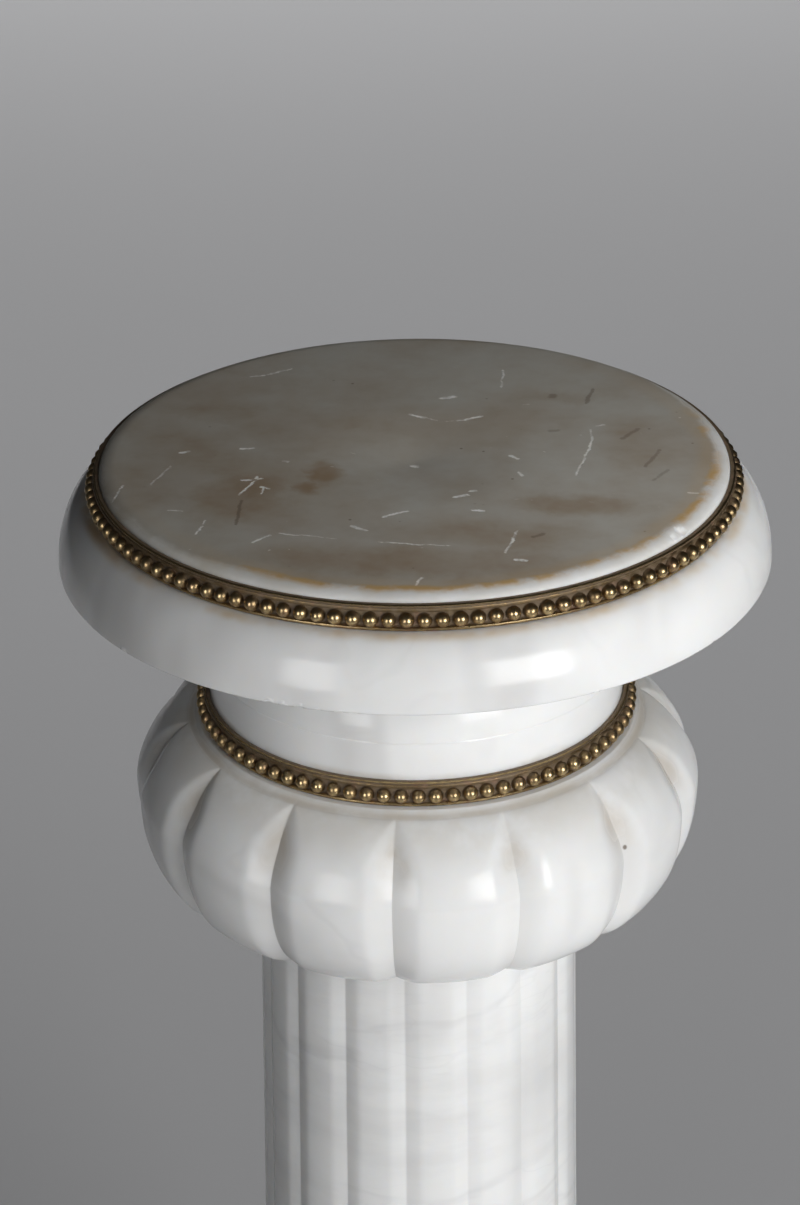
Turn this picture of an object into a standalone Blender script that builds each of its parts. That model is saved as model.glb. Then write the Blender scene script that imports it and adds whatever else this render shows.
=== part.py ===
"""Pedestal column in white alabaster with beaded brass rings.

A round slab with a raised disc lies on a capital whose lower half is a gadrooned bulb. Under it stands a
reeded, slightly tapering shaft on a turned foot and a square plinth. Two beaded brass rings lie where the
disc meets the slab and where the neck meets the bulb, and a plain brass band circles the shaft's foot.

Units are metres, +Z is up, and the origin is the middle of the plinth's underside. The middle of one
gadroon groove and of one reed crease faces -Y.
"""
from math import cos, pi, radians, sin, tau

import bmesh
import bpy
from mathutils import Vector

# Driving dimensions, in metres

GAP = 0.0003                  # left between pieces that touch

PLINTH_HEIGHT = 0.045
PLINTH_MARGIN = 0.0132        # from the foot's widest line to the plinth's side
PLINTH_CHAMFER = 0.0025

TORUS_HEIGHT = 0.044          # the round moulding at the bottom of the foot
TORUS_SWELL = 0.022
FOOT_FILLET = 0.006           # the flat lines above and below the foot's hollow
FILLET_STEP = 0.002
COVE_HEIGHT = 0.030           # the hollow moulding
COVE_WIDTH = 0.018

BAND_HEIGHT = 0.012           # the plain brass band
BAND_THICKNESS = 0.007
BAND_SHOULDER = 0.3           # share of its height that rounds off above, and the same below
BAND_LEDGE = 0.0025           # stone left showing around the band

SHAFT_LENGTH = 0.715
SHAFT_FOOT_RADIUS = 0.085     # over the reeds
SHAFT_TOP_RADIUS = 0.0745
REED_COUNT = 16
REED_DEPTH = 0.0022           # of the creases between the reeds
REED_FLANK = 0.30             # share of a reed's width that falls to one crease

BED_MARGIN = 0.0184           # from the shaft's top out to the bulb's lower edge
BED_LIP = 0.009               # width of the rim that the grooves reach on the bulb's underside
BULB_UNDERCUT = 0.0378        # from the bulb's lower edge out to its belly
BULB_SWELL = 0.0259           # from the ledge out to the belly
BELLY_HEIGHT = 0.0535         # underside to belly
CROWN_HEIGHT = 0.0323         # belly to ledge
BELLY_POWER = 2.22            # 2 is an ellipse, more is squarer
CROWN_POWER = 1.5
LOBE_COUNT = 14
LOBE_DEPTH = 0.0032           # of the grooves between the gadroons
LOBE_FLANK = 0.22             # share of a gadroon's width that falls to one groove
GROOVE_RISE = 0.45            # share of the crown over which a groove comes up to its point
GROOVE_RISE_POWER = 0.5       # 1 deepens evenly from that point, less deepens sooner

LEDGE_SLOPE_WIDTH = 0.0038    # the sloping line of stone around the neck ring
LEDGE_FALL = 0.0025
NECK_SEAT_WIDTH = 0.0059      # flat stone under the neck ring
NECK_HEIGHT = 0.0784          # from that seat to the slab
NECK_DRUM_HEIGHT = 0.0295     # its upright lower part, up to a turned line
NECK_LEAN_HEIGHT = 0.0205     # the part above that line, which leans in
NECK_LEAN = 0.0046

SLAB_RADIUS = 0.1605
SLAB_ARRIS = 0.0014           # the softened lower edge
SLAB_ROUND_HEIGHT = 0.0293    # the quarter round of the slab's side
SLAB_ROUND_WIDTH = 0.0167
DISC_SEAT_WIDTH = 0.0031      # flat stone under the top ring
DISC_HEIGHT = 0.0149          # from that seat to the top face
SHOULDER_WIDTH = 0.0076       # the disc's rounded edge
SHOULDER_DROP = 0.0032

RING_HEIGHT = 0.0114          # both beaded rings are of one stock
RING_WALL = 0.0026
BEAD_HEIGHT = 0.0062
BEAD_STAND = 0.0037           # of a bead out of the wall
BEAD_PITCH = 0.0075

# Sides of the faceted solids

SLAB_SIDES = 64
FOOT_SIDES = 48
BAND_SIDES = 40
SIDES_PER_FLUTE = 6           # of a gadroon or a reed
CREASE_POWER = 1.3            # 1 is a plain V, more is a V with hollow flanks
SMOOTH_ANGLE = radians(35)
MERGE = 0.00001
SAME_POINT = 0.00002

# Sizes that follow

plinth_top = PLINTH_HEIGHT
foot_bottom = plinth_top + GAP
foot_height = TORUS_HEIGHT + FOOT_FILLET + COVE_HEIGHT + FOOT_FILLET
foot_top = foot_bottom + foot_height
shaft_bottom = foot_top + GAP
shaft_top = shaft_bottom + SHAFT_LENGTH
capital_bottom = shaft_top + GAP
ledge_height = BELLY_HEIGHT + CROWN_HEIGHT
neck_seat = capital_bottom + ledge_height + LEDGE_FALL
capital_top = neck_seat + NECK_HEIGHT
slab_bottom = capital_top + GAP
disc_seat = slab_bottom + SLAB_ARRIS + SLAB_ROUND_HEIGHT
slab_top = disc_seat + DISC_HEIGHT

bed_radius = SHAFT_TOP_RADIUS + BED_MARGIN
belly_radius = bed_radius + BULB_UNDERCUT
ledge_radius = belly_radius - BULB_SWELL
neck_radius = ledge_radius - LEDGE_SLOPE_WIDTH - NECK_SEAT_WIDTH
neck_top_radius = neck_radius - NECK_LEAN
disc_radius = SLAB_RADIUS - SLAB_ROUND_WIDTH - DISC_SEAT_WIDTH


def clear_radius(radius, sides):
    """The corner radius of a polygon hole whose flats clear a round piece of the given radius."""
    return (radius + GAP) / cos(pi / sides)


band_radius = clear_radius(SHAFT_FOOT_RADIUS, BAND_SIDES)
foot_ledge_radius = band_radius + BAND_THICKNESS + BAND_LEDGE
cove_radius = foot_ledge_radius + COVE_WIDTH
torus_radius = cove_radius + FILLET_STEP
foot_radius = torus_radius + TORUS_SWELL
plinth_width = 2 * (foot_radius + PLINTH_MARGIN)


# Scene

for item in list(bpy.data.objects):
    bpy.data.objects.remove(item, do_unlink=True)

column = bpy.data.collections.new("alabaster_column")
bpy.context.scene.collection.children.link(column)


def stuff(name, colour, roughness, metallic):
    """A plain material."""
    material = bpy.data.materials.new(name)
    material.use_nodes = True
    shader = material.node_tree.nodes["Principled BSDF"]
    shader.inputs["Base Color"].default_value = (*colour, 1.0)
    shader.inputs["Roughness"].default_value = roughness
    shader.inputs["Metallic"].default_value = metallic
    return material


def add_piece(name, mesh, height, material, turn=0.0):
    """Put a finished mesh in the column at a height, turned about the axis."""
    mesh.shade_smooth()
    mesh.set_sharp_from_angle(angle=SMOOTH_ANGLE)
    mesh.materials.clear()
    mesh.materials.append(material)
    piece = bpy.data.objects.new(name, mesh)
    piece.location = (0.0, 0.0, height)
    piece.rotation_euler = (0.0, 0.0, turn)
    column.objects.link(piece)
    return piece


def turned(name, outline, sides, closed=False):
    """The mesh of an outline of (radius, height) points swept around the axis, first column at +X.

    An outline runs down the outer side, top to bottom. A closed one makes a ring.
    """
    points = [(radius, 0.0, height) for radius, height in outline]
    edges = [(i, i + 1) for i in range(len(points) - 1)]
    if closed:
        edges.append((len(points) - 1, 0))
    profile = bpy.data.meshes.new(name + "_outline")
    profile.from_pydata(points, edges, [])
    lathe = bpy.data.objects.new(name + "_lathe", profile)
    column.objects.link(lathe)
    screw = lathe.modifiers.new("turn", "SCREW")
    screw.angle = tau
    screw.steps = sides
    screw.render_steps = sides
    screw.use_merge_vertices = True
    screw.merge_threshold = MERGE
    graph = bpy.context.evaluated_depsgraph_get()
    mesh = bpy.data.meshes.new_from_object(lathe.evaluated_get(graph))
    mesh.name = name
    bpy.data.objects.remove(lathe, do_unlink=True)
    return mesh


def bow(start, end, steps, power=2.0):
    """Points along a quarter of a superellipse, from a level start to an upright end.

    The points after the start are returned, the end among them.
    """
    (r0, z0), (r1, z1) = start, end
    points = []
    for i in range(1, steps + 1):
        angle = pi / 2 * i / steps
        radius = r0 + (r1 - r0) * sin(angle) ** (2 / power)
        height = z1 + (z0 - z1) * max(cos(angle), 0.0) ** (2 / power)
        points.append((radius, height))
    return points


def under_bow(start, end, steps, power=2.0):
    """Points along a quarter of a superellipse, from an upright start to a level end."""
    back = [start] + bow(start=end, end=start, steps=steps, power=power)[:-1][::-1] + [end]
    return back[1:]


def crease(fraction, flank):
    """How deep a crease is at a place across a flute: 1 at its edges, 0 on its broad middle."""
    away = min(fraction % 1.0, 1.0 - fraction % 1.0)
    return max(0.0, 1.0 - away / flank) ** CREASE_POWER


# Pieces

def plinth(material):
    """The square block at the bottom, with its edges softened."""
    mesh = bpy.data.meshes.new("plinth")
    shape = bmesh.new()
    bmesh.ops.create_cube(shape, size=1.0)
    bmesh.ops.scale(shape, vec=(plinth_width, plinth_width, PLINTH_HEIGHT), verts=shape.verts)
    upper = [edge for edge in shape.edges if max(v.co.z for v in edge.verts) > 0]
    bmesh.ops.bevel(
        shape, geom=upper, offset=PLINTH_CHAMFER, offset_type="OFFSET", segments=1,
        profile=0.5, affect="EDGES", clamp_overlap=True,
    )
    shape.to_mesh(mesh)
    shape.free()
    return add_piece("plinth", mesh, PLINTH_HEIGHT / 2, material)


def turned_foot(material):
    """The turned foot: a ledge for the band, a fillet, a hollow, a fillet and a round moulding."""
    upper = TORUS_HEIGHT + FOOT_FILLET + COVE_HEIGHT
    outline = [(0.0, foot_height), (foot_ledge_radius, foot_height), (foot_ledge_radius, upper)]
    for i in range(1, 5):
        angle = pi / 2 * i / 4
        outline.append((
            cove_radius - COVE_WIDTH * cos(angle),
            upper - COVE_HEIGHT * sin(angle),
        ))
    outline.append((cove_radius, TORUS_HEIGHT))
    outline.append((torus_radius, TORUS_HEIGHT))
    middle = (foot_radius, TORUS_HEIGHT / 2)
    outline += bow((torus_radius, TORUS_HEIGHT), middle, 3)
    outline += under_bow(middle, (torus_radius, 0.0), 3)
    outline.append((0.0, 0.0))
    return add_piece("turned_foot", turned("turned_foot", outline, FOOT_SIDES), foot_bottom, material)


def foot_band(material):
    """The plain half-round brass band that lies on the foot around the shaft."""
    outer = band_radius + BAND_THICKNESS
    inner_edge = band_radius + BAND_THICKNESS / 2
    outline = [
        (band_radius, BAND_HEIGHT),
        (inner_edge, BAND_HEIGHT),
        (outer, BAND_HEIGHT * (1.0 - BAND_SHOULDER)),
        (outer, BAND_HEIGHT * BAND_SHOULDER),
        (inner_edge, 0.0),
        (band_radius, 0.0),
    ]
    mesh = turned("foot_band", outline, BAND_SIDES, closed=True)
    return add_piece("foot_band", mesh, foot_top + GAP, material)


def reeded_shaft(material):
    """The tapering shaft. Shallow creases part its broad, flat-faced reeds."""
    outline = [
        (0.0, SHAFT_LENGTH), (SHAFT_TOP_RADIUS, SHAFT_LENGTH), (SHAFT_FOOT_RADIUS, 0.0), (0.0, 0.0),
    ]
    mesh = turned("reeded_shaft", outline, REED_COUNT * SIDES_PER_FLUTE)
    for vertex in mesh.vertices:
        flat = Vector((vertex.co.x, vertex.co.y))
        if flat.length > SHAFT_TOP_RADIUS / 2:
            fraction = flat.angle_signed(Vector((1.0, 0.0))) / tau * REED_COUNT
            depth = REED_DEPTH * crease(fraction, REED_FLANK)
            vertex.co.x -= flat.normalized().x * depth
            vertex.co.y -= flat.normalized().y * depth
    return add_piece("reeded_shaft", mesh, shaft_bottom, material, turn=-pi / 2)


def capital_outline():
    """The capital's outline as (radius, height, groove) points, and groove's share of its full depth."""
    crown = [(ledge_radius, ledge_height)]
    crown += bow(crown[0], (belly_radius, BELLY_HEIGHT), 6, CROWN_POWER)
    belly = under_bow((belly_radius, BELLY_HEIGHT), (bed_radius, 0.0), 6, BELLY_POWER)
    seat = ledge_height + LEDGE_FALL
    outline = [
        (0.0, seat + NECK_HEIGHT, 0.0),
        (neck_top_radius, seat + NECK_HEIGHT, 0.0),
        (neck_top_radius, seat + NECK_DRUM_HEIGHT + NECK_LEAN_HEIGHT, 0.0),
        (neck_radius, seat + NECK_DRUM_HEIGHT, 0.0),
        (neck_radius, seat, 0.0),
        (neck_radius + NECK_SEAT_WIDTH, seat, 0.0),
    ]
    for radius, height in crown:
        below = (ledge_height - height) / (CROWN_HEIGHT * GROOVE_RISE)
        outline.append((radius, height, min(1.0, below) ** GROOVE_RISE_POWER))
    outline += [(radius, height, 1.0) for radius, height in belly]
    outline += [(bed_radius - BED_LIP, 0.0, 0.0), (0.0, 0.0, 0.0)]
    return outline


def gadrooned_capital(material):
    """The neck and the bulb in one block. The grooves are cut square to the bulb's surface."""
    outline = capital_outline()
    columns = LOBE_COUNT * SIDES_PER_FLUTE
    mesh = turned("gadrooned_capital", [point[:2] for point in outline], columns)
    cuts = []
    for i, (radius, height, groove) in enumerate(outline):
        if groove == 0.0:
            continue
        (r0, z0, _), (r1, z1, _) = outline[i - 1], outline[i + 1]
        inward = Vector((z1 - z0, r0 - r1)).normalized()
        cuts.append((radius, height, inward * LOBE_DEPTH * groove))
    for vertex in mesh.vertices:
        flat = Vector((vertex.co.x, vertex.co.y))
        for radius, height, cut in cuts:
            if max(abs(flat.length - radius), abs(vertex.co.z - height)) < SAME_POINT:
                fraction = flat.angle_signed(Vector((1.0, 0.0))) / tau * LOBE_COUNT
                depth = crease(fraction, LOBE_FLANK)
                vertex.co.x += flat.normalized().x * cut.x * depth
                vertex.co.y += flat.normalized().y * cut.x * depth
                vertex.co.z += cut.y * depth
                break
    return add_piece("gadrooned_capital", mesh, capital_bottom, material, turn=-pi / 2)


def top_slab(material):
    """The slab with its quarter-round side and the raised disc, turned from one block."""
    seat = SLAB_ARRIS + SLAB_ROUND_HEIGHT
    top = seat + DISC_HEIGHT
    side = (SLAB_RADIUS, SLAB_ARRIS)
    round_start = (disc_radius + DISC_SEAT_WIDTH, seat)
    outline = [(0.0, top), (disc_radius - SHOULDER_WIDTH, top)]
    outline += bow(outline[-1], (disc_radius, top - SHOULDER_DROP), 3)
    outline += [(disc_radius, seat), round_start]
    outline += bow(round_start, side, 6)
    outline += [(SLAB_RADIUS - SLAB_ARRIS, 0.0), (0.0, 0.0)]
    return add_piece("top_slab", turned("top_slab", outline, SLAB_SIDES), slab_bottom, material)


def beaded_ring(name, stone_radius, seat, material):
    """A brass ring around a round stone piece: a wall with a row of beads raised from its outer side."""
    count = round(tau * (stone_radius + RING_WALL) / BEAD_PITCH)
    inner = clear_radius(stone_radius, count)
    outer = inner + RING_WALL
    upper = (RING_HEIGHT + BEAD_HEIGHT) / 2
    lower = (RING_HEIGHT - BEAD_HEIGHT) / 2
    outline = [
        (inner, RING_HEIGHT), (outer, RING_HEIGHT), (outer, upper), (outer, lower), (outer, 0.0),
        (inner, 0.0),
    ]
    mesh = turned(name, outline, count, closed=True)
    shape = bmesh.new()
    shape.from_mesh(mesh)
    middle = RING_HEIGHT / 2
    row = []
    for face in shape.faces:
        centre = face.calc_center_median()
        if abs(centre.z - middle) < BEAD_HEIGHT / 4 and centre.xy.length > inner + RING_WALL / 2:
            row.append(face)
    bmesh.ops.poke(shape, faces=row, offset=BEAD_STAND, center_mode="MEAN")
    shape.to_mesh(mesh)
    shape.free()
    return add_piece(name, mesh, seat + GAP, material, turn=-pi / 2)


alabaster = stuff("alabaster", (0.84, 0.83, 0.80), 0.28, 0.0)
brass = stuff("brass", (0.45, 0.32, 0.15), 0.35, 1.0)

plinth(alabaster)
turned_foot(alabaster)
foot_band(brass)
reeded_shaft(alabaster)
gadrooned_capital(alabaster)
beaded_ring("neck_ring", neck_radius, neck_seat, brass)
top_slab(alabaster)
beaded_ring("top_ring", disc_radius, disc_seat, brass)
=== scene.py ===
# %% [markdown]
# # A pedestal column in white alabaster
#
# The column is a stack of turned and carved stones: a square plinth, a turned foot, a reeded shaft, a
# capital with a gadrooned bulb, and a slab with a raised disc. Three brass pieces circle the joints.
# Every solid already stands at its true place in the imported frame. This script dresses each one with a
# finer mesh and a finish, and sets up the camera and the lights.

# %% Load the frame
import random
from math import ceil, cos, hypot, pi, radians, sin, tau

import bmesh
import bpy
from mathutils import Matrix, Vector, noise


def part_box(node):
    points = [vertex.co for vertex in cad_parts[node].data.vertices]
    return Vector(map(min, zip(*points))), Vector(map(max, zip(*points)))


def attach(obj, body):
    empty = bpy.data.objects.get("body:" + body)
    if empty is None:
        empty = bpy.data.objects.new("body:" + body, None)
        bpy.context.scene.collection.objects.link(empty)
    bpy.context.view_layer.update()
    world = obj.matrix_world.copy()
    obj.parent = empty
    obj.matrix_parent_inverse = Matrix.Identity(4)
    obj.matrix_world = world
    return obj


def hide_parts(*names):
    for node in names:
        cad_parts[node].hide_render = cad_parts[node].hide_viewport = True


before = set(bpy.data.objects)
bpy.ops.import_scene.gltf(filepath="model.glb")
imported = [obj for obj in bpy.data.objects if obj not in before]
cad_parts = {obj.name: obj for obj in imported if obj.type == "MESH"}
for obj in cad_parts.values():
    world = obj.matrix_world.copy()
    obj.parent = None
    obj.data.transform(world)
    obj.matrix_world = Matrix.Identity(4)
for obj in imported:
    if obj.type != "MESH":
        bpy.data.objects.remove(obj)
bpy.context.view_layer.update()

# %% [markdown]
# ## A class for node expressions
#
# Both materials and Geometry Nodes are graphs. Written node by node, a short formula fills a page. So
# one class stands for an output socket and overloads the arithmetic operators: an expression on such
# values adds the Math nodes by itself. Any other node comes from one method, which sets the node's
# settings first, because they decide which of its sockets are in use.

# %% Sockets that can be calculated with
class Wire:
    """An output socket of a node on a board."""

    def __init__(self, board, socket):
        self.board = board
        self.socket = socket

    def math(self, operation, *others):
        return self.board.node("ShaderNodeMath", {"operation": operation}, dict(enumerate((self, *others))))

    def vector(self, operation, *others):
        values = dict(enumerate((self, *others)))
        return self.board.node("ShaderNodeVectorMath", {"operation": operation}, values)

    def out(self, name):
        """Another output of the same node."""
        return Wire(self.board, self.socket.node.outputs[name])

    def axis(self, name):
        return self.board.node("ShaderNodeSeparateXYZ", {}, {"Vector": self}).out(name)

    def __add__(self, other):
        return self.math("ADD", other)

    def __sub__(self, other):
        return self.math("SUBTRACT", other)

    def __rsub__(self, other):
        return self * -1.0 + other

    def __mul__(self, other):
        return self.math("MULTIPLY", other)

    def __truediv__(self, other):
        return self.math("DIVIDE", other)

    def __pow__(self, other):
        return self.math("POWER", other)

    __radd__ = __add__
    __rmul__ = __mul__

    def ramp(self, start, end):
        """0 at start, 1 at end, with soft ends."""
        return self.board.node(
            "ShaderNodeMapRange", {"interpolation_type": "SMOOTHSTEP"},
            {"Value": self, "From Min": start, "From Max": end},
        )

    def near(self, place, reach):
        """1 at a place, falling softly to 0 at reach away from it."""
        return (self - place).math("ABSOLUTE").ramp(reach, 0.0)


class Board:
    """A node tree that nodes are laid on."""

    def __init__(self, tree):
        self.tree = tree

    def node(self, kind, settings=None, sockets=None):
        node = self.tree.nodes.new(kind)
        for name, value in (settings or {}).items():
            if name == "stops":
                self.set_stops(node.color_ramp, value)
            else:
                setattr(node, name, value)
        for key, value in (sockets or {}).items():
            self.plug(value, self.find(node.inputs, key))
        return Wire(self, self.find(node.outputs, None))

    def find(self, sockets, key):
        """A socket by its number or name, or the first one in use."""
        if isinstance(key, int):
            return sockets[key]
        return next((s for s in sockets if s.enabled and key in (None, s.name)), None)

    def plug(self, value, socket):
        if isinstance(value, Wire):
            self.tree.links.new(value.socket, socket)
        elif socket.type == "RGBA":
            socket.default_value = (*value, 1.0)
        else:
            socket.default_value = value

    def set_stops(self, ramp, stops):
        while len(ramp.elements) < len(stops):
            ramp.elements.new(1.0)
        for element, (place, colour) in zip(ramp.elements, stops):
            element.position = place
            element.color = (*colour, 1.0)

    def mix(self, factor, low, high):
        """A colour between two others."""
        return self.node("ShaderNodeMix", {"data_type": "RGBA"}, {"Factor": factor, "A": low, "B": high})

    def noise(self, place, scale, detail=3.0, rough=0.5, seed=0.0):
        """A soft random value. Each seed reads another part of the same noise."""
        moved = place.vector("ADD", (seed * 0.31, seed * 0.17, seed * 0.23))
        values = {"Vector": moved, "Scale": scale, "Detail": detail, "Roughness": rough}
        return self.node("ShaderNodeTexNoise", {}, values)


# %% [markdown]
# ## The sizes
#
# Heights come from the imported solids, so that every finer mesh stays where its solid is. The radii of
# the mouldings repeat the solids' driving sizes, because a box doesn't show them.

# %% Sizes in metres
slab_low, slab_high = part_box("top_slab")
top_ring_low, top_ring_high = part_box("top_ring")
capital_low, capital_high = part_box("gadrooned_capital")
neck_ring_low, neck_ring_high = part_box("neck_ring")
shaft_low, shaft_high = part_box("reeded_shaft")
band_low, band_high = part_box("foot_band")
foot_low, foot_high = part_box("turned_foot")
plinth_low, plinth_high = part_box("plinth")

GAP = 0.0003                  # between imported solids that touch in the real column
SLAB_RADIUS = slab_high.x
DISC_RADIUS = 0.1407
SHOULDER_WIDTH = 0.0076
SHOULDER_DROP = 0.0032
DISC_SEAT = top_ring_low.z - GAP
RING_SEAT_WIDTH = 0.0031

BELLY_RADIUS = 0.1307
BELLY_HEIGHT = capital_low.z + 0.0535
BED_RADIUS = 0.0929
LEDGE_RADIUS = 0.1048
LEDGE_HEIGHT = BELLY_HEIGHT + 0.0323
NECK_RADIUS = 0.0951
NECK_SEAT = neck_ring_low.z - GAP
NECK_LINE = NECK_SEAT + 0.0295
NECK_LEAN = 0.0046
NECK_STEP = 0.0003            # at the turned line

SHAFT_TOP_RADIUS = 0.0745
SHAFT_FOOT_RADIUS = 0.085

print("slab", round(SLAB_RADIUS, 4), "capital", round(capital_low.z, 4), "to", round(capital_high.z, 4))

# %% [markdown]
# ## The lathe
#
# A turned stone is a profile swept around an axis. Blender's Screw modifier does that, but here each
# row of the profile also carries a number that later steps read, such as how deep the flutes are cut
# there. So the sweep is a few lines of code: rows go down the outer side, columns go round, and a row
# on the axis shrinks to one point. The columns needn't be evenly spaced, so they can crowd together
# where a groove will be cut.

# %% Profiles
def bow(start, end, steps, power=2.0):
    """Points after start along a quarter of a superellipse, from a level start to an upright end."""
    (r0, z0), (r1, z1) = start, end
    points = []
    for i in range(1, steps + 1):
        angle = pi / 2 * i / steps
        across = sin(angle) ** (2 / power)
        down = 1.0 - max(cos(angle), 0.0) ** (2 / power)
        points.append((r0 + (r1 - r0) * across, z0 + (z1 - z0) * down))
    return points


def under_bow(start, end, steps, power=2.0):
    """The same from an upright start to a level end."""
    back = bow(end, start, steps, power)
    return back[-2::-1] + [end]


def soften(points, reach, steps=4):
    """Round off every corner of a profile, starting at most `reach` before and after it."""
    out = [points[0]]
    for before, corner, after in zip(points, points[1:], points[2:]):
        a, b, c = Vector(before), Vector(corner), Vector(after)
        cut = min(reach, (a - b).length / 2, (c - b).length / 2)
        start = b + (a - b).normalized() * cut
        end = b + (c - b).normalized() * cut
        for i in range(steps + 1):
            t = i / steps
            out.append(tuple(start * (1 - t) ** 2 + b * 2 * t * (1 - t) + end * t ** 2))
    return out + [points[-1]]


def divide(points, longest):
    """Put in points so that no step is longer than `longest`."""
    out = [points[0]]
    for (r0, z0), (r1, z1) in zip(points, points[1:]):
        parts = max(1, ceil(hypot(r1 - r0, z1 - z0) / longest))
        out += [(r0 + (r1 - r0) * i / parts, z0 + (z1 - z0) * i / parts) for i in range(1, parts + 1)]
    return out


# %% Sweeping a profile
ON_AXIS = 1e-6


def azimuths(flutes, per_flute, crowding=0.0):
    """Column angles from -Y on, where the first groove is. Crowding gathers them at the grooves."""
    angles = []
    for i in range(flutes * per_flute):
        t = i / per_flute
        angles.append((t - crowding * sin(tau * t) / tau) * tau / flutes - pi / 2)
    return angles


def lathe(name, profile, angles, rows=None, closed=False):
    """A piece made by sweeping (radius, height) points round the axis.

    rows gives lists of numbers, one for each profile point, that are kept as attributes of the mesh.
    """
    points, firsts, values = [], [], {key: [] for key in rows or {}}
    for i, (radius, height) in enumerate(profile):
        firsts.append(len(points))
        if radius < ON_AXIS:
            points.append((0.0, 0.0, height))
        else:
            points += [(radius * cos(a), radius * sin(a), height) for a in angles]
        for key in values:
            values[key] += [rows[key][i]] * (len(points) - firsts[-1])
    count = len(angles)
    faces = []
    pairs = list(zip(range(len(profile)), range(1, len(profile))))
    if closed:
        pairs.append((len(profile) - 1, 0))
    for upper, lower in pairs:
        up, down = firsts[upper], firsts[lower]
        for j in range(count):
            k = (j + 1) % count
            if profile[upper][0] < ON_AXIS:
                faces.append((down + j, down + k, up))
            elif profile[lower][0] < ON_AXIS:
                faces.append((up + k, up + j, down))
            else:
                faces.append((down + j, down + k, up + k, up + j))
    mesh = bpy.data.meshes.new(name)
    mesh.from_pydata(points, [], faces)
    for key, numbers in values.items():
        mesh.attributes.new(key, "FLOAT", "POINT").data.foreach_set("value", numbers)
    return stand(name, mesh)


def stand(name, data):
    """Put a mesh, a lamp or a camera in the scene."""
    thing = bpy.data.objects.new(name, data)
    bpy.context.scene.collection.objects.link(thing)
    return thing


# %% [markdown]
# ## Geometry Nodes for what follows a rule
#
# Three things on this column follow a rule. The bulb's gadroons and the shaft's reeds are the same cut
# repeated round the axis, with a depth that the profile sets. The polish of every stone is a little
# uneven, as hand work is. And both brass rings carry a row of equal beads. Each rule becomes one node
# tree with named inputs, so one tree serves several pieces with other numbers.

# %% Running a tree on a piece
SMOOTH_ANGLE = radians(38)


def tree_with(name, inputs):
    """A geometry tree with a geometry in and out, and named inputs. Returns its board and their wires."""
    tree = bpy.data.node_groups.new(name, "GeometryNodeTree")
    tree.interface.new_socket("Geometry", in_out="INPUT", socket_type="NodeSocketGeometry")
    tree.interface.new_socket("Geometry", in_out="OUTPUT", socket_type="NodeSocketGeometry")
    for label, kind in inputs.items():
        tree.interface.new_socket(label, in_out="INPUT", socket_type="NodeSocket" + kind)
    board = Board(tree)
    entry = board.node("NodeGroupInput")
    return board, {label: entry.out(label) for label in ("Geometry", *inputs)}


def finish_tree(board, geometry, material):
    """End a tree: no instances are left, and everything wears one material."""
    real = board.node("GeometryNodeRealizeInstances", {}, {"Geometry": geometry})
    dressed = board.node("GeometryNodeSetMaterial", {}, {"Geometry": real, "Material": material})
    board.node("NodeGroupOutput", {}, {"Geometry": dressed})
    return board.tree


def keep(board, geometry, name, value):
    """Store a number on every point, for a finish to read."""
    settings = {"data_type": "FLOAT", "domain": "POINT"}
    values = {"Geometry": geometry, "Name": name, "Value": value}
    return board.node("GeometryNodeStoreNamedAttribute", settings, values)


def push(board, geometry, amount):
    """Move every point outwards along its normal."""
    normal = board.node("GeometryNodeInputNormal")
    move = board.node("ShaderNodeVectorMath", {"operation": "SCALE"}, {0: normal, "Scale": amount})
    return board.node("GeometryNodeSetPosition", {}, {"Geometry": geometry, "Offset": move})


def run_tree(piece, tree, values):
    """Apply a tree to a piece, and keep the result as the piece's plain mesh."""
    modifier = piece.modifiers.new(tree.name, "NODES")
    modifier.node_group = tree
    for item in tree.interface.items_tree:
        if item.in_out == "INPUT" and item.name in values:
            modifier[item.identifier] = values[item.name]
    graph = bpy.context.evaluated_depsgraph_get()
    mesh = bpy.data.meshes.new_from_object(piece.evaluated_get(graph))
    piece.modifiers.remove(modifier)
    piece.data = mesh
    mesh.shade_smooth()
    mesh.set_sharp_from_angle(angle=SMOOTH_ANGLE)
    mesh.calc_loop_triangles()
    print(piece.name, "has", len(mesh.loop_triangles), "triangles")
    return piece


# %% [markdown]
# The polish tree moves every point in or out along its normal by a slow noise of a tenth of a
# millimetre. That is far too little to see as a shape, but it bends the reflections of the lamps, and
# that is how the eye tells hand-polished stone from plastic.

# %% The tree for uneven polish
UNEVEN = 0.00012
UNEVEN_SCALE = 22.0


def bulge(board, place, amount):
    """How far hand work stands out at a place, in metres, about zero."""
    return (board.noise(place, UNEVEN_SCALE, 2.0, 0.4, 3.0) - 0.5) * 2.0 * amount


def polish_tree():
    board, get = tree_with("hand polish", {"Uneven": "Float", "Material": "Material"})
    place = board.node("GeometryNodeInputPosition")
    moved = push(board, get["Geometry"], bulge(board, place, get["Uneven"]))
    return finish_tree(board, moved, get["Material"])


hand_polish = polish_tree()


def polish(piece, material, uneven=UNEVEN):
    return run_tree(piece, hand_polish, {"Uneven": uneven, "Material": material})



# %% [markdown]
# The fluting tree cuts grooves. For each point it works out how far the nearest groove line is, measured
# along the surface, as a share of the groove's half width there. The cut falls from the full depth on
# that line to nothing at that width, along a power curve: 1 would give a plain V, and a higher power
# rounds the stone between two grooves like a cushion. The width shrinks with the depth, which is what
# a chisel does, so a groove runs out in a point, and a slow noise lets the depth wander by an eighth.
# The crown input lets the whole flute swell as well.

# %% The tree for gadroons and reeds
DEPTH_WANDER = 0.25           # times a noise from -0.5 to 0.5
NO_WIDTH = 0.00001            # keeps the share from being divided by zero where there's no groove


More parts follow.
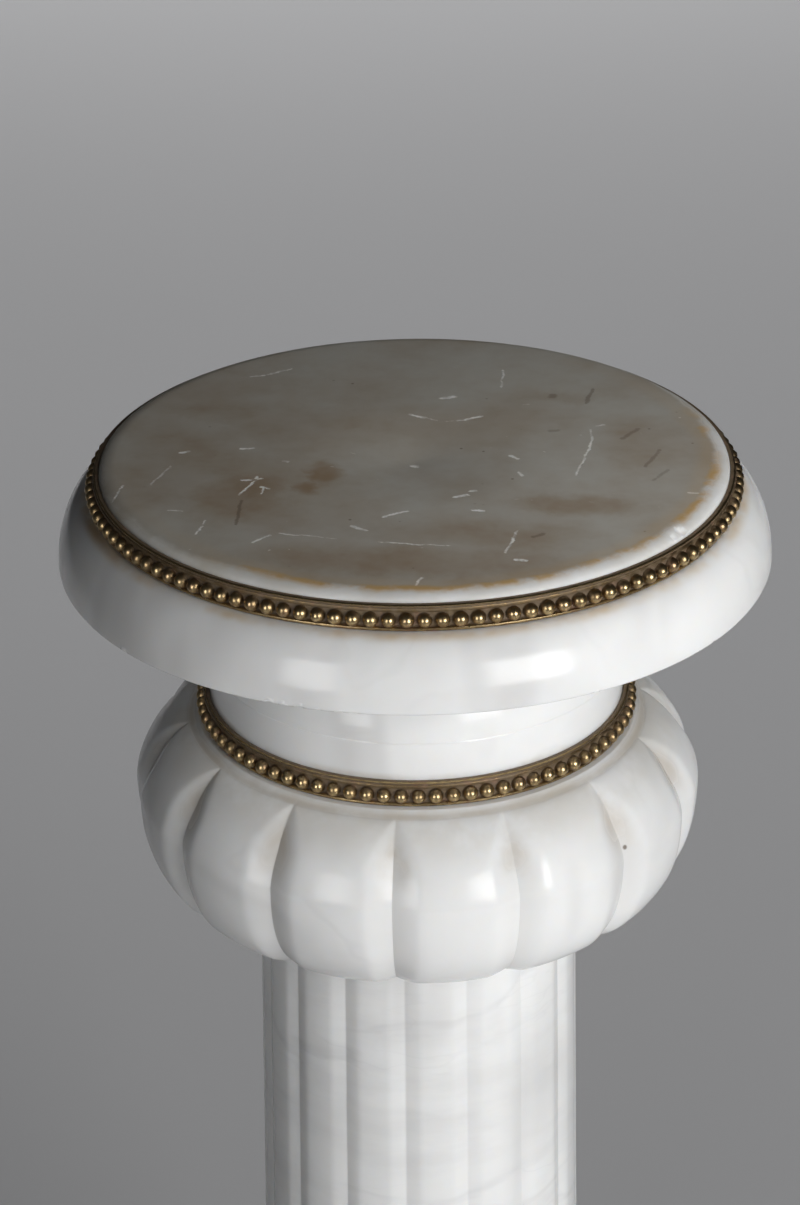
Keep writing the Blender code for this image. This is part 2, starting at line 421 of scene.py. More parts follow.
def fluting_tree():
    board, get = tree_with("fluting", {
        "Flutes": "Int", "Depth": "Float", "Width": "Float", "Power": "Float", "Crown": "Float",
        "Uneven": "Float", "Material": "Material",
    })
    place = board.node("GeometryNodeInputPosition")
    x, y = place.axis("X"), place.axis("Y")
    groove = board.node("GeometryNodeInputNamedAttribute", {"data_type": "FLOAT"}, {"Name": "groove"})
    radius = (x * x + y * y).math("SQRT")
    turn = (y.math("ARCTAN2", x) + pi / 2) / tau * get["Flutes"]
    share = turn.math("FRACT")
    away = share.math("MINIMUM", 1.0 - share)
    distance = away * tau * radius / get["Flutes"]
    wander = board.noise(place, 30.0, 2.0, 0.5, 7.0) - 0.5
    depth = get["Depth"] * groove * (1.0 + wander * DEPTH_WANDER)
    inside = (1.0 - distance / (get["Width"] * groove + NO_WIDTH)).math("MAXIMUM", 0.0)
    cut = depth * inside ** get["Power"]
    fall = (1.0 - away * 2.0) ** 2.0 * get["Crown"] * groove
    marked = keep(board, get["Geometry"], "cut", cut / get["Depth"])
    moved = push(board, marked, bulge(board, place, get["Uneven"]) - cut - fall)
    return finish_tree(board, moved, get["Material"])


fluting = fluting_tree()

# %% [markdown]
# The bead tree stands one small ball on every point of a circle, turned so that its pole points
# outwards, and joins the row to the ring's wall. A seed varies each bead's size by a few percent,
# because the strip was rolled from soft sheet. The balls carry a number that rises from the back
# to the tip: the brass finish reads it, since tips rub bright and recesses stay dark.

# %% The tree for a row of beads
BEAD_SEGMENTS = 12
BEAD_RINGS = 6
SMALLEST_BEAD = 0.95
LARGEST_BEAD = 1.03


def bead_tree():
    board, get = tree_with("row of beads", {
        "Count": "Int", "Circle": "Float", "Height": "Float", "Bead": "Float", "Seed": "Int",
        "Material": "Material",
    })
    circle = board.node("GeometryNodeMeshCircle", {}, {"Vertices": get["Count"], "Radius": get["Circle"]})
    place = board.node("GeometryNodeInputPosition")
    ball = board.node("GeometryNodeMeshUVSphere", {}, {
        "Segments": BEAD_SEGMENTS, "Rings": BEAD_RINGS, "Radius": get["Bead"],
    })
    ball = keep(board, ball, "rub", place.axis("Z") / get["Bead"] * 0.5 + 0.15)
    outward = board.node("FunctionNodeAlignRotationToVector", {"axis": "Z"}, {"Vector": place})
    size = board.node("FunctionNodeRandomValue", {"data_type": "FLOAT"}, {
        "Min": SMALLEST_BEAD, "Max": LARGEST_BEAD, "Seed": get["Seed"],
    })
    row = board.node("GeometryNodeInstanceOnPoints", {}, {
        "Points": circle, "Instance": ball, "Rotation": outward, "Scale": size,
    })
    lift = board.node("ShaderNodeCombineXYZ", {}, {"Z": get["Height"]})
    row = board.node("GeometryNodeTranslateInstances", {}, {
        "Instances": row, "Translation": lift, "Local Space": False,
    })
    both = board.node("GeometryNodeJoinGeometry")
    board.plug(get["Geometry"], both.socket.node.inputs[0])
    board.plug(row, both.socket.node.inputs[0])
    return finish_tree(board, both, get["Material"])


row_of_beads = bead_tree()

# %% [markdown]
# ## Alabaster
#
# Alabaster is a soft, fine-grained stone that lets light in a few millimetres deep, so its shadows are
# gentle and its thin edges glow. It is nearly white, with faint grey clouds and a few thin, wandering
# veins, and it takes a high polish. The finish is built from slow noise for the clouds and from the
# places where a bent noise crosses its middle value for the veins, because such a line never ends in
# the open. A slanted, drawn-out noise adds a few greyer wisps. Subsurface scattering is the same all
# over, so it is set on the shader's own sockets.

# %% The stone's colour
WHITE = (0.865, 0.868, 0.862)
CLOUD = (0.785, 0.785, 0.780)
VEIN = (0.60, 0.60, 0.60)
WISP = (0.63, 0.625, 0.62)
SCATTER = 0.35
SCATTER_DEPTH = 0.007
SCATTER_COLOURS = (1.0, 0.85, 0.7)
STONE_IOR = 1.53
VEINS = 0.4                   # how strongly they show
POLISH = 0.12
GLOSS = 0.30
WORN_GLOSS = 0.15
CAPITAL_GLOSS = 0.27          # hands and cloths reach the bulb less than the slab


def new_material(name):
    material = bpy.data.materials.new(name)
    material.use_nodes = True
    material.node_tree.nodes.clear()
    board = Board(material.node_tree)
    return material, board, board.node("ShaderNodeTexCoord").out("Object")


def bent(board, place, scale, reach, seed):
    """A place pushed about by a noise, so that what is drawn there isn't straight."""
    push = board.noise(place, scale, 2.0, 0.5, seed).out("Color").vector("SUBTRACT", (0.5, 0.5, 0.5))
    return place.vector("ADD", push.vector("MULTIPLY", (reach, reach, reach)))


def stone_colour(board, place, stretch, veins):
    """White stone with clouds and veins, and stretch says how the bedding lies."""
    bed = board.node("ShaderNodeMapping", {}, {"Vector": place, "Scale": stretch})
    cloud = board.noise(bed, 9.0, 4.0, 0.55, 1.0).ramp(0.42, 0.72)
    line = (board.noise(bent(board, bed, 14.0, 0.05, 2.0), 6.0, 2.0, 0.45, 3.0) - 0.5).math("ABSOLUTE")
    fine = (board.noise(bent(board, bed, 30.0, 0.03, 4.0), 11.0, 2.0, 0.5, 5.0) - 0.5).math("ABSOLUTE")
    shown = board.noise(bed, 8.0, 2.0, 0.5, 6.0).ramp(0.42, 0.66)
    vein = line.ramp(0.050, 0.0) * 0.7 + fine.ramp(0.022, 0.0) * 0.3
    slanted = board.node("ShaderNodeMapping", {}, {
        "Vector": place, "Rotation": (0.5, 0.6, 0.2), "Scale": (34.0, 24.0, 8.0),
    })
    wisp = board.noise(slanted, 1.0, 1.5, 0.4, 10.0).ramp(0.50, 0.76)
    colour = board.mix(cloud * 0.75, WHITE, CLOUD)
    colour = board.mix(wisp * 0.6, colour, WISP)
    return board.mix(vein * shown * veins, colour, VEIN)


def raised(board, height, strength=1.0):
    """The normal of a surface with this height in metres."""
    return board.node("ShaderNodeBump", {}, {"Strength": strength, "Distance": 1.0, "Height": height})


def finish_with(board, sockets):
    """End a material with one shader."""
    shader = board.node("ShaderNodeBsdfPrincipled", {}, sockets)
    board.node("ShaderNodeOutputMaterial", {}, {"Surface": shader})


def finish_stone(board, colour, rough, height, gloss=GLOSS):
    """The shader that every stone piece shares."""
    finish_with(board, {
        "Base Color": colour, "Roughness": rough, "Normal": raised(board, height),
        "IOR": STONE_IOR, "Specular IOR Level": gloss, "Subsurface Weight": SCATTER,
        "Subsurface Radius": SCATTER_COLOURS, "Subsurface Scale": SCATTER_DEPTH,
    })


def polish_marks(board, place):
    """Roughness and height of a polished stone: faint smears and very fine grain."""
    smear = board.noise(place, 35.0, 3.0, 0.6, 8.0)
    grain = board.noise(place, 900.0, 2.0, 0.5, 9.0)
    return POLISH + smear * 0.07, grain * 0.000012


def plain_alabaster(name, stretch):
    """Alabaster for pieces without marks of their own."""
    material, board, place = new_material(name)
    rough, height = polish_marks(board, place)
    finish_stone(board, stone_colour(board, place, stretch, VEINS), rough, height)
    return material


shaft_stone = plain_alabaster("shaft alabaster", (1.6, 1.6, 5.5))
foot_stone = plain_alabaster("foot alabaster", (1.0, 1.0, 1.6))

# %% [markdown]
# ## The worn top
#
# The disc has carried vases and plants. Its polish is dull, its white has turned to a warm grey with
# brown patches, and a line of old residue follows the inner edge of the shoulder on the right. On the
# side away from the lamps the grey is painted darker and reaches onto the shoulder: painted shade. Pale
# scratches and short nicks lie all over it. The large ones are a list of strokes with two ends each,
# because their places matter for the likeness. The shader measures how far a point is from each
# stroke, and bends the point's place twice before that, so that no stroke looks ruled. Brown patches
# are ellipses with wandering edges. Where the stone is chipped it is white again.

# %% Marks on the top face, in millimetres from the axis
MM = 0.001
STROKES = [
    # x, y of one end, x, y of the other, half width, strength
    (-88, 82.5, -79.2, 85.7, 0.5, 0.5), (-79.2, 85.7, -66.9, 94.4, 0.6, 0.6),
    (-124.6, -41.1, -127, -55.8, 0.5, 0.7), (-106.9, -19.2, -112.9, -39, 0.5, 0.4),
    (-101.4, -64.7, -95, -65, 0.5, 0.5), (-83.7, -74, -85.3, -87.6, 0.5, 0.7),
    (-104.5, -4.7, -101.6, -2.9, 0.8, 0.8), (-77.3, 1.9, -72.5, 2.9, 0.8, 0.9),
    (-57.4, -10.3, -55.2, -10.6, 0.8, 0.5), (-73, -32, -65, -30, 0.6, 0.8),
    (-66.8, -28, -69.2, -36, 0.6, 0.9), (-69.2, -36, -72.5, -47, 0.5, 0.8),
    (-64, -38, -60, -40, 0.6, 0.8), (-62.5, -38.5, -63, -45, 0.5, 0.7),
    (-60.2, -94.4, -54.2, -87.1, 0.7, 0.9), (-50.3, -84.7, -37.1, -86, 0.5, 0.5),
    (-37.1, -86, -25.8, -87.8, 0.4, 0.4), (-20.1, -75.5, -13.6, -79.4, 0.8, 0.6),
    (-7.5, -65.3, 2.2, -58.7, 0.7, 0.9), (-7, -90.3, 11, -91.4, 0.5, 0.7),
    (11, -91.4, 24.4, -91.6, 0.4, 0.5), (-5.9, 45.4, 0.9, 42.6, 0.9, 0.9),
    (0.9, 42.6, 10.3, 38.2, 0.4, 0.4), (10.3, 38.2, 20.1, 41.3, 0.4, 0.5),
    (20.1, 41.3, 27.1, 45.1, 0.8, 0.8), (6.7, 64, 12.7, 66.5, 1, 0.9),
    (33.5, 99.8, 33.9, 79.8, 0.5, 0.6), (77.5, 32.8, 78.7, 21.8, 0.5, 0.5),
    (78.7, 21.8, 73, -16.7, 0.5, 0.7), (80, 37.6, 82.9, 38.8, 0.7, 0.6),
    (42.6, 3, 46.8, -0.1, 0.8, 0.7), (47.7, -14.9, 49, -18.3, 0.8, 0.6),
    (21.5, -42.8, 26.3, -40.2, 1, 1), (27.3, -36, 29.8, -35.3, 0.8, 0.8),
    (30.2, -56.2, 35, -56.3, 0.7, 0.8), (51.5, -73.5, 47, -96.5, 0.5, 0.7),
    (51.6, -103, 56.3, -103.9, 0.8, 0.8), (13.9, -122.9, 12.3, -130.2, 0.6, 0.8),
    (122.6, -31.3, 126.4, -31.1, 0.6, 0.5), (-0.3, -6, 1.4, -6.2, 1.2, 1),
]
DARK_STROKES = [
    (-70.8, -52.6, -70.4, -76.8, 0.7, 0.8), (76.2, 80, 73.9, 63.9, 0.8, 0.7),
    (57.7, -80.3, 61.7, -77.2, 1, 0.7), (103.2, -5.3, 109, 13, 0.8, 0.6),
    (91.9, 23.9, 98.5, 35.4, 0.9, 0.6), (107.4, -19, 113.4, -8.1, 0.8, 0.5),
    (57.8, 70, 58, 71.2, 1.8, 0.7), (59, 31, 62, 31.5, 1.2, 0.5),
]
PATCHES = [
    # x, y of the middle, half length along x and y, strength
    (-37.9, -21, 8, 13, 0.62), (-43, -37.5, 7, 7, 0.45),
    (-74, -50, 23, 26, 0.6), (76, -48, 30, 10, 0.45),
    (60, 69, 18, 7, 0.3), (-90, 42, 20, 12, 0.3),
    (-106, -16, 30, 46, 0.28), (-50, 24, 34, 26, 0.22),
    (6, -108, 65, 17, 0.45), (35, -80, 50, 14, 0.35),
    (-108, -48, 15, 15, 0.3), (100, 20, 20, 30, 0.25),
]


def stroke(board, place, line):
    """How strongly a stroke shows at a place."""
    *sizes, strength = line
    x0, y0, x1, y1, width = (size * MM for size in sizes)
    span = (x1 - x0, y1 - y0, 0.0)
    here = place.vector("SUBTRACT", (x0, y0, 0.0))
    along = here.vector("DOT_PRODUCT", span).out("Value") / (span[0] ** 2 + span[1] ** 2)
    along = board.node("ShaderNodeClamp", {}, {"Value": along})
    foot = board.node("ShaderNodeVectorMath", {"operation": "SCALE"}, {0: span, "Scale": along})
    away = here.vector("SUBTRACT", foot).vector("LENGTH").out("Value")
    return away.ramp(width * 1.6, width * 0.6) * min(1.0, strength * 1.25)


def strongest(masks):
    """The highest of several masks."""
    result = masks[0]
    for mask in masks[1:]:
        result = result.math("MAXIMUM", mask)
    return result


def patch(place, spot):
    """A soft ellipse."""
    *sizes, strength = spot
    x, y, reach_x, reach_y = (size * MM for size in sizes)
    here = place.vector("SUBTRACT", (x, y, 0.0)).vector("DIVIDE", (reach_x, reach_y, 1.0))
    return here.vector("LENGTH").out("Value").ramp(1.35, 0.35) * strength


# %% The finish of the worn face
TOP_GREY = (0.50, 0.485, 0.435)
TOP_BROWN = (0.31, 0.22, 0.135)
RESIDUE = (0.60, 0.39, 0.16)
# The dull grey also serves as painted shade on the side away from the lamps.
DULL_AND_SHADE = (0.60, 0.565, 0.49)
SCRATCH = (0.95, 0.94, 0.90)
DARK_MARK = (0.13, 0.09, 0.06)
OCHRE = (0.66, 0.49, 0.28)
FRESH_BREAK = (0.93, 0.93, 0.92)
FLAT_RADIUS = DISC_RADIUS - SHOULDER_WIDTH
RESIDUE_SIDE = (sin(radians(40)), -cos(radians(40)), 0.0)


def flatten(place):
    """A place with its height taken out, and its distance from the axis."""
    flat = place.vector("MULTIPLY", (1.0, 1.0, 0.0))
    return flat, flat.vector("LENGTH").out("Value")


def kept(board, name):
    """A number that the mesh carries on its points."""
    return board.node("ShaderNodeAttribute", {"attribute_name": name}).out("Fac")


def worn_finish():
    material, board, place = new_material("worn alabaster")
    rough, height = polish_marks(board, place)
    colour = stone_colour(board, place, (1.0, 1.0, 1.0), VEINS)
    flat, radius = flatten(place)
    side = flat.vector("NORMALIZE").vector("DOT_PRODUCT", RESIDUE_SIDE).out("Value").ramp(-0.55, 0.75)
    ragged = radius + (board.noise(flat, 55.0, 3.0, 0.6, 18.0) - 0.5) * 0.008
    # The worn grey reaches further out onto the shoulder on the side away from the lamps: painted shade.
    top = (ragged - (1.0 - side) * 0.0065).ramp(FLAT_RADIUS + 0.0022, FLAT_RADIUS - 0.0022)
    dull = board.noise(place, 26.0, 4.0, 0.6, 23.0).ramp(0.30, 0.70)
    sticky = side.ramp(0.5, 1.0)
    # The dull grey is the dull polish, plus painted shade that grows away from the lamps.
    colour = board.mix(dull * (0.9 - sticky * 0.45) + 0.08 + (1.0 - side) * 0.35, colour, DULL_AND_SHADE)

    wandering = bent(board, bent(board, flat, 45.0, 0.016, 11.0), 190.0, 0.007, 25.0)
    patches = strongest([patch(wandering, spot) for spot in PATCHES])
    mottle = board.noise(flat, 17.0, 4.0, 0.60, 12.0).ramp(0.30, 0.72)
    scuff = board.noise(flat, 70.0, 3.0, 0.6, 24.0).ramp(0.35, 0.75)
    worn = board.mix(mottle * 0.45 + patches + scuff * 0.14, TOP_GREY, TOP_BROWN)
    colour = board.mix(top * 0.93, colour, worn)

    shaky = bent(board, bent(board, flat, 110.0, 0.0030, 13.0), 700.0, 0.0013, 27.0)
    pale = strongest([stroke(board, shaky, line) for line in STROKES])
    pale = pale * (board.noise(flat, 240.0, 2.0, 0.5, 26.0).ramp(0.36, 0.56) * 0.6 + 0.4)
    dark = strongest([stroke(board, shaky, line) for line in DARK_STROKES])
    specks = board.node("ShaderNodeTexVoronoi", {}, {"Vector": flat, "Scale": 95.0})
    speck = specks.ramp(0.09, 0.04) * board.noise(flat, 18.0, 2.0, 0.5, 14.0).ramp(0.50, 0.60)
    nicks = board.node("ShaderNodeTexVoronoi", {}, {
        "Vector": bent(board, flat, 70.0, 0.02, 15.0).vector("MULTIPLY", (1.0, 1.7, 1.0)), "Scale": 60.0,
    })
    nick = nicks.ramp(0.07, 0.03) * board.noise(flat, 14.0, 2.0, 0.5, 16.0).ramp(0.50, 0.60)
    colour = board.mix(top * dark * 0.5, colour, DARK_MARK)
    colour = board.mix(top * speck * 0.6, colour, DARK_MARK)
    scratched = top * pale.math("MAXIMUM", nick * 0.5)
    colour = board.mix(scratched, colour, SCRATCH)

    crust = board.noise(flat, 30.0, 5.0, 0.65, 17.0).ramp(0.36, 0.56)
    smear = ragged.near(FLAT_RADIUS - 0.0030, 0.0075) * side * 0.20
    residue = ragged.near(FLAT_RADIUS + 0.0004, 0.0050) * sticky * crust * 0.95
    colour = board.mix(residue.math("MAXIMUM", smear), colour, RESIDUE)

    broken = kept(board, "broken")
    colour = board.mix(broken * 0.8, colour, FRESH_BREAK)
    rough = rough + top * (0.34 + mottle * 0.14) + scratched * 0.25 + residue * 0.3 + broken * 0.35
    height = height - scratched * 0.00012 + residue * 0.00010
    finish_stone(board, colour, rough, height, WORN_GLOSS)
    return material


# %% The finish of the slab's side
def slab_finish():
    material, board, place = new_material("slab alabaster")
    rough, height = polish_marks(board, place)
    colour = stone_colour(board, place, (1.0, 1.0, 1.0), VEINS)
    radius, z = flatten(place)[1], place.axis("Z")
    broken = kept(board, "broken")
    colour = board.mix(broken * 0.8, colour, FRESH_BREAK)
    seat_stain = radius.near(DISC_RADIUS + 0.0068, 0.0045) * z.near(DISC_SEAT, 0.004)
    seat_stain = seat_stain * board.noise(place, 30.0, 3.0, 0.6, 19.0).ramp(0.36, 0.66)
    colour = board.mix(seat_stain * 0.75, colour, OCHRE)
    height = height + broken * board.noise(place, 500.0, 3.0, 0.6, 20.0) * 0.0006
    finish_stone(board, colour, rough + broken * 0.35, height)
    return material


worn_stone = worn_finish()
slab_stone = slab_finish()

# %% [markdown]
# The capital's finish adds dirt where a cloth doesn't reach: brown in the upper ends of the grooves,
# grime below the brass ring that is also painted shade from the slab above it, and a thin fringe on the
# neck above the ring. The band under the ring, into the ledge's corner, is darker: partly a stain, partly
# painted shade. One small dark pit lies on the bulb's right. The fluting tree has left a number called
# cut on every point, 1 at the bottom of a groove, so the dirt follows the carving by itself.

# %% The capital's finish
PIT = (0.0992, -0.0769, 0.9063)
GROOVE_DIRT = (0.50, 0.43, 0.34)
# The grime colour also paints the shade under the slab.
GRIME_AND_SHADE = (0.60, 0.56, 0.49)
# The ledge stain colour also paints the shade in the ledge's corner.
LEDGE_STAIN_AND_SHADE = (0.52, 0.45, 0.35)
NECK_FRINGE = (0.50, 0.42, 0.31)
LINE_GREY = (0.55, 0.53, 0.50)


def capital_finish():
    material, board, place = new_material("capital alabaster")
    rough, height = polish_marks(board, place)
    colour = stone_colour(board, place, (1.0, 1.0, 1.4), 0.45)
    radius, z = flatten(place)[1], place.axis("Z")
    cut = kept(board, "cut")
    upper = z.near(LEDGE_HEIGHT - 0.012, 0.020)
    patchy = board.noise(place, 26.0, 4.0, 0.6, 21.0).ramp(0.32, 0.58)
    dirt = cut.ramp(0.05, 0.70) * (upper * patchy * 0.5 + 0.06)
    colour = board.mix(dirt, colour, GROOVE_DIRT)
    bulb = radius.ramp(NECK_RADIUS + 0.003, NECK_RADIUS + 0.007)
    # Darker towards the top of the bulb, under the ring and the slab: partly grime, partly painted shade.
    grime_and_shade = z.ramp(LEDGE_HEIGHT - 0.018, LEDGE_HEIGHT + 0.001) * bulb * patchy
    colour = board.mix(grime_and_shade * 0.45, colour, GRIME_AND_SHADE)
    # A darker band under the ring, down into the ledge's corner: partly stain, partly painted shade.
    corner = radius.near(LEDGE_RADIUS - 0.0008, 0.0026) * bulb
    corner_stain_and_shade = (board.noise(place, 34.0, 3.0, 0.6, 22.0).ramp(0.28, 0.60) * 0.8 + 0.2) * corner
    colour = board.mix(corner_stain_and_shade * 0.5, colour, LEDGE_STAIN_AND_SHADE)
    pit = place.vector("DISTANCE", PIT).out("Value").ramp(0.0015, 0.0006)
    colour = board.mix(pit * 0.8, colour, DARK_MARK)
    fringe = z.near(NECK_SEAT + 0.0125, 0.0030) * (1.0 - bulb) * patchy
    colour = board.mix(fringe * 0.35, colour, NECK_FRINGE)
    neck_line = z.near(NECK_LINE, 0.0006) * radius.ramp(NECK_RADIUS + 0.002, NECK_RADIUS + 0.001)
    colour = board.mix(neck_line * 0.10, colour, LINE_GREY)
    finish_stone(board, colour, rough + bulb * 0.06 + dirt * 0.2 + corner_stain_and_shade * 0.2, height, CAPITAL_GLOSS)
    return material


capital_stone = capital_finish()

# %% [markdown]
# ## Aged brass
#
# The rings were gilt brass. Age has turned their recesses dark brown, while handling has rubbed the
# bead tips and the arrises bright. That needs one number for how rubbed a place is, and every ring
# mesh carries it: the bead tree stores it on the balls and the profile gives it to the walls. A noise
# breaks it up. A dull ochre bloom, which is no longer metal, lies low in the recesses, and reddish
# spots lie all over.

# %% The brass finish
BRASS_COLOURS = [
    # how rubbed, colour
    (0.0, (0.155, 0.112, 0.070)), (0.30, (0.185, 0.132, 0.075)),
    (0.62, (0.32, 0.225, 0.115)), (1.0, (0.70, 0.53, 0.28)),
]
BLOOM = (0.26, 0.20, 0.11)
REDDISH = (0.34, 0.19, 0.13)


def brass_finish():
    material, board, place = new_material("aged brass")
    mottle = board.noise(place, 260.0, 4.0, 0.65, 31.0)
    worn = (kept(board, "rub") + (mottle - 0.5) * 1.3).ramp(-0.35, 0.95)
    colour = board.node("ShaderNodeValToRGB", {"stops": BRASS_COLOURS}, {"Fac": worn}).out("Color")
    bloom = board.noise(place, 120.0, 3.0, 0.6, 32.0).ramp(0.56, 0.72) * worn.ramp(0.55, 0.15)
    colour = board.mix(bloom * 0.55, colour, BLOOM)
    red = board.noise(place, 150.0, 3.0, 0.6, 34.0).ramp(0.52, 0.72)
    colour = board.mix(red * 0.45, colour, REDDISH)
    grain = board.noise(place, 1500.0, 2.0, 0.5, 33.0)
    height = mottle * 0.00008 + grain * 0.00002
    finish_with(board, {
        "Base Color": colour, "Metallic": worn.ramp(0.0, 0.45) * (1.0 - bloom * 0.6),
        "Roughness": 0.62 - worn * 0.36, "Normal": raised(board, height, 0.6),
    })
    return material


brass = brass_finish()
finishes = (shaft_stone, foot_stone, worn_stone, slab_stone, capital_stone, brass)
print("finishes:", [material.name for material in finishes])

# %% [markdown]
# ## The plinth and the foot
#
# The plinth is a sawn block with its arrises eased, and the foot is one turned stone: a ledge for the
# brass band, a hollow, a fillet and a round moulding. The block needs only a bevel with a few steps.
# Its faces are divided so that the polish tree has points to move.

# %% Plinth
PLINTH_EASE = 0.0022
PLINTH_CELLS = 24


def plinth_mesh():
    shape = bmesh.new()
    bmesh.ops.create_cube(shape, size=1.0)
    size = plinth_high - plinth_low
    bmesh.ops.scale(shape, vec=size, verts=shape.verts)
    bmesh.ops.translate(shape, vec=(plinth_high + plinth_low) / 2, verts=shape.verts)
    bmesh.ops.bevel(
        shape, geom=list(shape.edges), offset=PLINTH_EASE, offset_type="OFFSET", segments=4,
        profile=0.5, affect="EDGES", clamp_overlap=True,
    )
    long_edges = [e for e in shape.edges if e.calc_length() > size.z / 2]
    bmesh.ops.subdivide_edges(shape, edges=long_edges, cuts=PLINTH_CELLS, use_grid_fill=True)
    mesh = bpy.data.meshes.new("plinth_block")
    shape.to_mesh(mesh)
    shape.free()
    return mesh


plinth = polish(stand("plinth_block", plinth_mesh()), foot_stone)

# %% Turned foot
FOOT_TORUS = 0.044
FOOT_FILLET = 0.006
COVE_HEIGHT = 0.030
COVE_WIDTH = 0.018
FILLET_STEP = 0.002
FOOT_RADIUS = foot_high.x
TORUS_SWELL = 0.022
COVE_STEPS = 20
TORUS_STEPS = 16
FOOT_COLUMNS = 192
FLAT_STEP = 0.012             # the longest step of a profile


def foot_profile():
    base, top = foot_low.z, foot_high.z
    torus_radius = FOOT_RADIUS - TORUS_SWELL
    cove_radius = torus_radius - FILLET_STEP
    ledge = cove_radius - COVE_WIDTH
    upper = base + FOOT_TORUS + FOOT_FILLET + COVE_HEIGHT
    turns = [pi / 2 * i / COVE_STEPS for i in range(1, COVE_STEPS + 1)]
    hollow = [(cove_radius - COVE_WIDTH * cos(turn), upper - COVE_HEIGHT * sin(turn)) for turn in turns]
    brow = (torus_radius, base + FOOT_TORUS)
    middle = (FOOT_RADIUS, base + FOOT_TORUS / 2)
    corners = [(0.0, top), (ledge, top), (ledge, upper)]
    profile = soften(corners + hollow[:1], 0.0012) + hollow[1:]
    profile += soften([hollow[-1], (cove_radius, base + FOOT_TORUS), brow], 0.0008)[1:]
    profile += bow(brow, middle, TORUS_STEPS) + under_bow(middle, (torus_radius, base), TORUS_STEPS)
    return divide(profile + [(0.0, base)], FLAT_STEP)


foot = polish(lathe("foot", foot_profile(), azimuths(1, FOOT_COLUMNS)), foot_stone)

# %% [markdown]
# ## The shaft
#
# The shaft tapers and has sixteen broad reeds, parted by shallow creases. It is the plainest case of
# the fluting tree: the profile is one long line, and the groove number is 1 all the way.

# %% Shaft
REEDS = 16
REED_DEPTH = 0.0015
REED_FLANK = 0.0074
REED_POWER = 1.12
REED_CROWN = 0.0002
REED_COLUMNS = 24
CROWDING = 0.6                # of the columns, at the grooves


def shaft_profile():
    line = [(0.0, shaft_high.z), (SHAFT_TOP_RADIUS, shaft_high.z), (SHAFT_FOOT_RADIUS, shaft_low.z)]
    return divide(soften(line + [(0.0, shaft_low.z)], 0.0008), 0.010)


profile = shaft_profile()
on_side = [1.0 if radius > SHAFT_TOP_RADIUS - 0.002 else 0.0 for radius, _ in profile]
shaft = lathe("shaft", profile, azimuths(REEDS, REED_COLUMNS, CROWDING), {"groove": on_side})
run_tree(shaft, fluting, {
    "Flutes": REEDS, "Depth": REED_DEPTH, "Width": REED_FLANK, "Power": REED_POWER,
    "Crown": REED_CROWN, "Uneven": UNEVEN, "Material": shaft_stone,
})

# %% [markdown]
# ## The capital
#
# Neck and bulb are one stone. The bulb's outline is two quarters of superellipses: a fuller one below
# the belly and a flatter one above. Fourteen V grooves cut it into gadroons. They start in a point
# under the ledge, so the groove number rises from 0 there, and they run on to the underside.

# %% Capital
GADROONS = 14
GROOVE_DEPTH = 0.0034
GROOVE_FLANK = 0.0128
GROOVE_POWER = 1.18
GROOVE_FADE = 0.35            # how much shallower a groove is at the bulb's lower edge
GADROON_CROWN = 0.0007
BELLY_POWER = 2.22
CROWN_POWER = 1.5
GROOVE_RISE = 0.45
BED_LIP = 0.009
LEAN_STEPS = 12
LEAN_HEIGHT = 0.026
GADROON_COLUMNS = 32


def capital_profile():
    """The outline, and the groove number of each of its points."""
    top, base = capital_high.z, capital_low.z
    waist = NECK_RADIUS - NECK_LEAN
    seat_radius = NECK_RADIUS + 0.0059
    neck = [(0.0, top), (waist, top)]
    for i in range(LEAN_STEPS, -1, -1):
        swing = (1 - cos(pi * i / LEAN_STEPS)) / 2
        radius = NECK_RADIUS - NECK_STEP - (NECK_LEAN - NECK_STEP) * swing
        neck.append((radius, NECK_LINE + LEAN_HEIGHT * i / LEAN_STEPS))
    neck += [(NECK_RADIUS, NECK_LINE - 0.0004), (NECK_RADIUS, NECK_SEAT)]
    neck += [(seat_radius, NECK_SEAT), (LEDGE_RADIUS, LEDGE_HEIGHT)]
    plain = divide(soften(neck, 0.0005, 3), 0.006)
    crown = bow((LEDGE_RADIUS, LEDGE_HEIGHT), (BELLY_RADIUS, BELLY_HEIGHT), 26, CROWN_POWER)
    belly = under_bow((BELLY_RADIUS, BELLY_HEIGHT), (BED_RADIUS, base), 34, BELLY_POWER)
    under = divide([(BED_RADIUS, base), (BED_RADIUS - BED_LIP, base), (0.0, base)], FLAT_STEP)[1:]
    rise = (LEDGE_HEIGHT - BELLY_HEIGHT) * GROOVE_RISE
    numbers = [0.0] * len(plain)
    numbers += [min(1.0, (LEDGE_HEIGHT - z) / rise) ** 0.6 for _, z in crown]
    numbers += [1.0 - GROOVE_FADE * ((BELLY_HEIGHT - z) / (BELLY_HEIGHT - base)) ** 2 for _, z in belly]
    left = 1.0 - GROOVE_FADE
    numbers += [left * max(0.0, 1.0 - (BED_RADIUS - radius) / BED_LIP) for radius, _ in under]
    return plain + crown + belly + under, numbers


profile, grooves = capital_profile()
capital = lathe("capital", profile, azimuths(GADROONS, GADROON_COLUMNS, CROWDING), {"groove": grooves})
run_tree(capital, fluting, {
    "Flutes": GADROONS, "Depth": GROOVE_DEPTH, "Width": GROOVE_FLANK, "Power": GROOVE_POWER,
    "Crown": GADROON_CROWN, "Uneven": UNEVEN, "Material": capital_stone,
})

